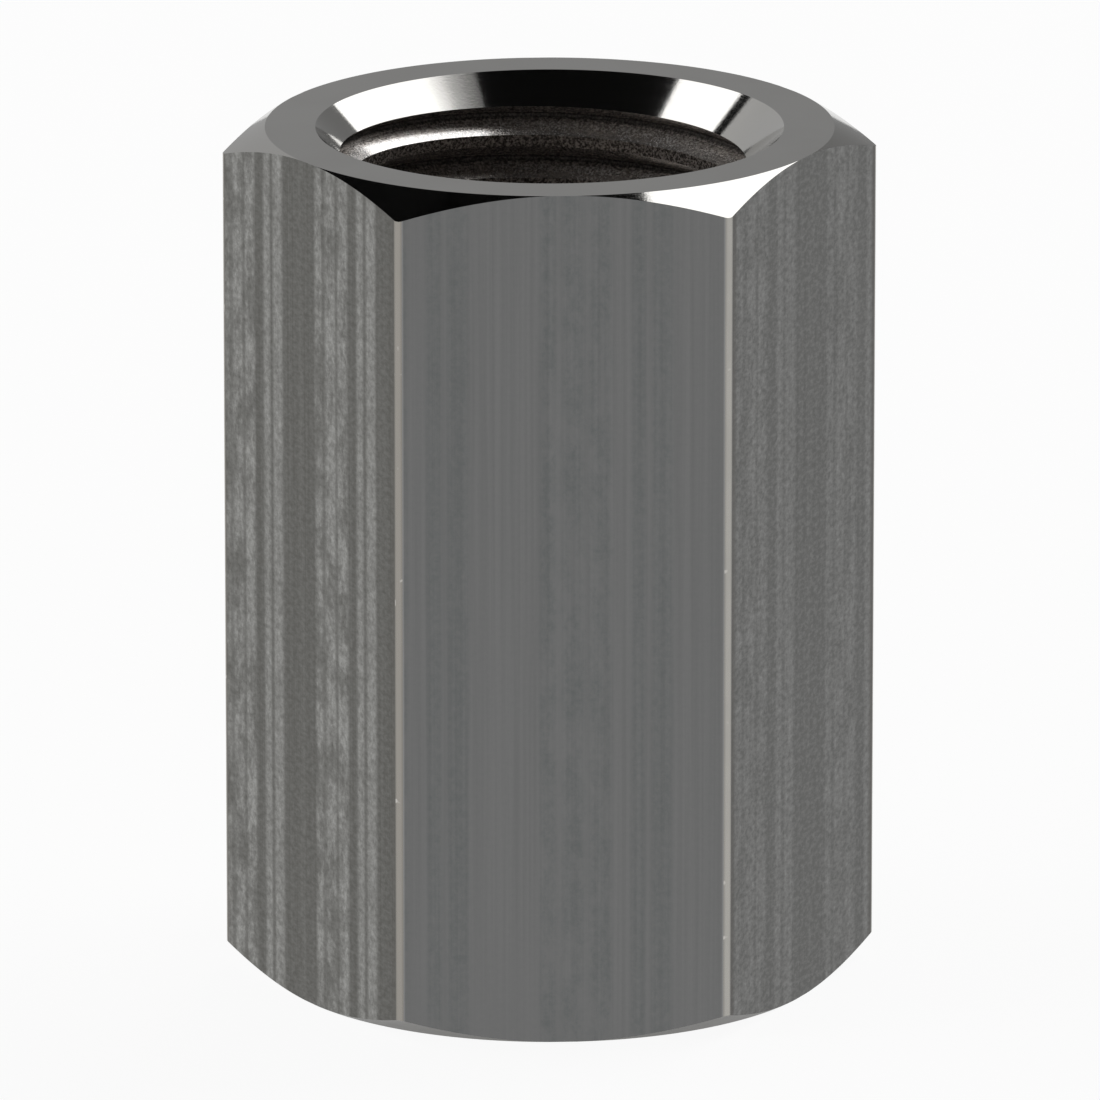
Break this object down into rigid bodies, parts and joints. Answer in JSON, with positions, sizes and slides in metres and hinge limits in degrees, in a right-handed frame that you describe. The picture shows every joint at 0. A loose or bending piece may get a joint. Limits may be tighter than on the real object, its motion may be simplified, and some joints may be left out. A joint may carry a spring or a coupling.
{
  "type": "hex pipe socket",
  "caption": "Hexagonal steel pipe socket with chamfered ends and a countersunk, internally threaded bore right through, for joining threaded pipes end to end.",
  "frame": {"origin": "centre of the lower end face, on the bore's axis", "axes": "+Z along the bore's axis, upwards; +X through a corner of the hexagon; +Y square to a flat"},
  "size_m": [0.0196, 0.017, 0.026],
  "materials": {
    "turned_bar": "drawn flats with fine lengthwise lines, smooth turned ends and mouths"
  },
  "bodies": {
    "root": {"socket_body": "turned_bar"}
  },
  "joints": []
}
